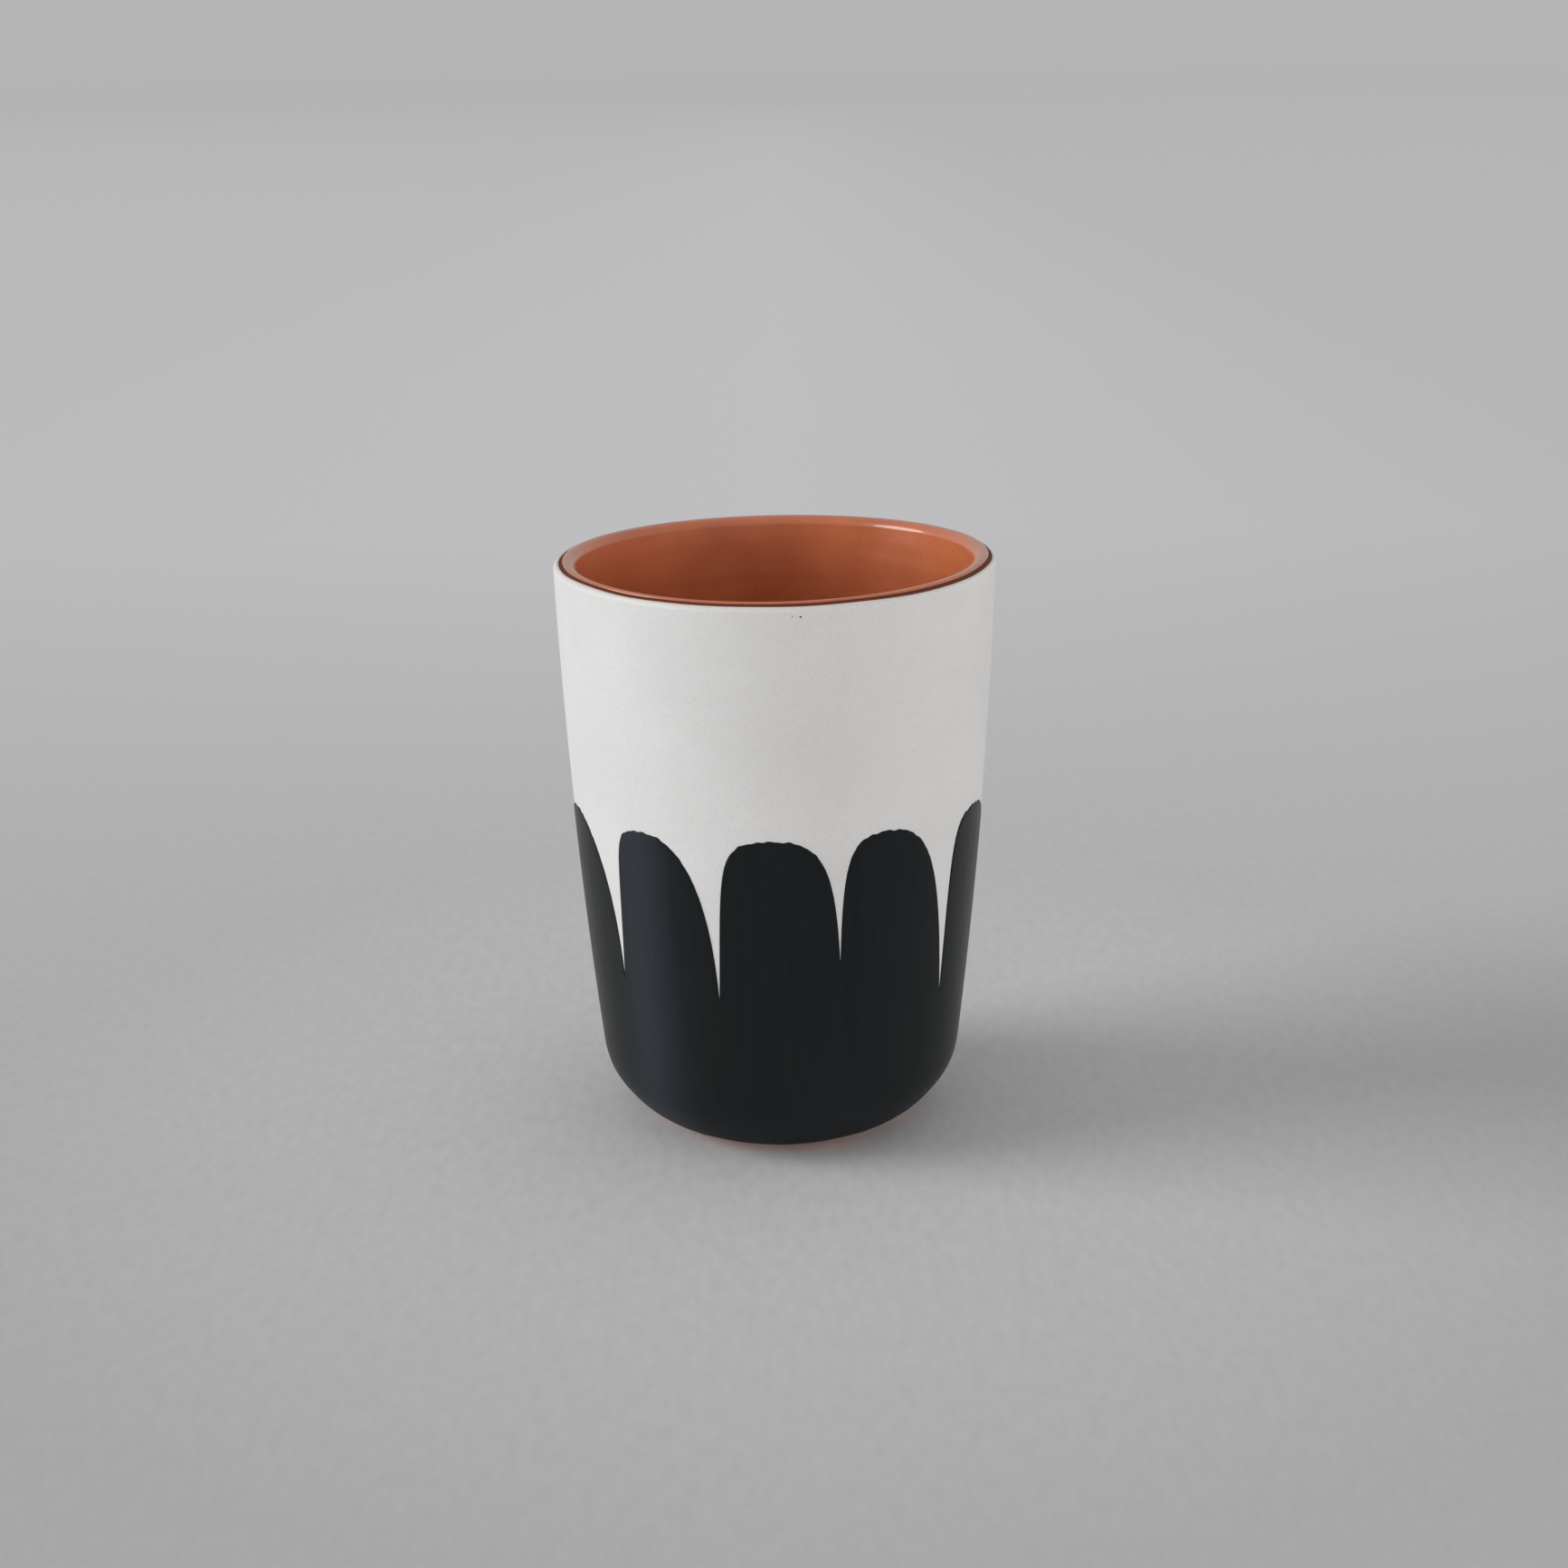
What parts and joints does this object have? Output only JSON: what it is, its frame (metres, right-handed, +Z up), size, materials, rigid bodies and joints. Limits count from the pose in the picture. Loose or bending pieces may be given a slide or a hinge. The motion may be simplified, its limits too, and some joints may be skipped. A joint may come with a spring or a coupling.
{
  "type": "espresso cup",
  "caption": "Small handleless tumbler of red clay with a glazed inside, a matt white outside and a black lower half that rises in round petals.",
  "frame": {"origin": "middle of the flat foot, on the table", "axes": "+Z up along the cup's axis, -Y towards the viewer, +X to the viewer's right"},
  "size_m": [0.055, 0.055, 0.0733],
  "materials": {
    "clay": "bare fired red clay, dry and matt",
    "glaze": "clear gloss glaze over red clay",
    "white_slip": "white slip, fine matt",
    "black_slip": "black slip, brushed on, satin"
  },
  "bodies": {
    "root": {"clay_body": "clay", "inner_glaze": "glaze", "white_slip": "white_slip", "black_slip": "black_slip"}
  },
  "joints": []
}
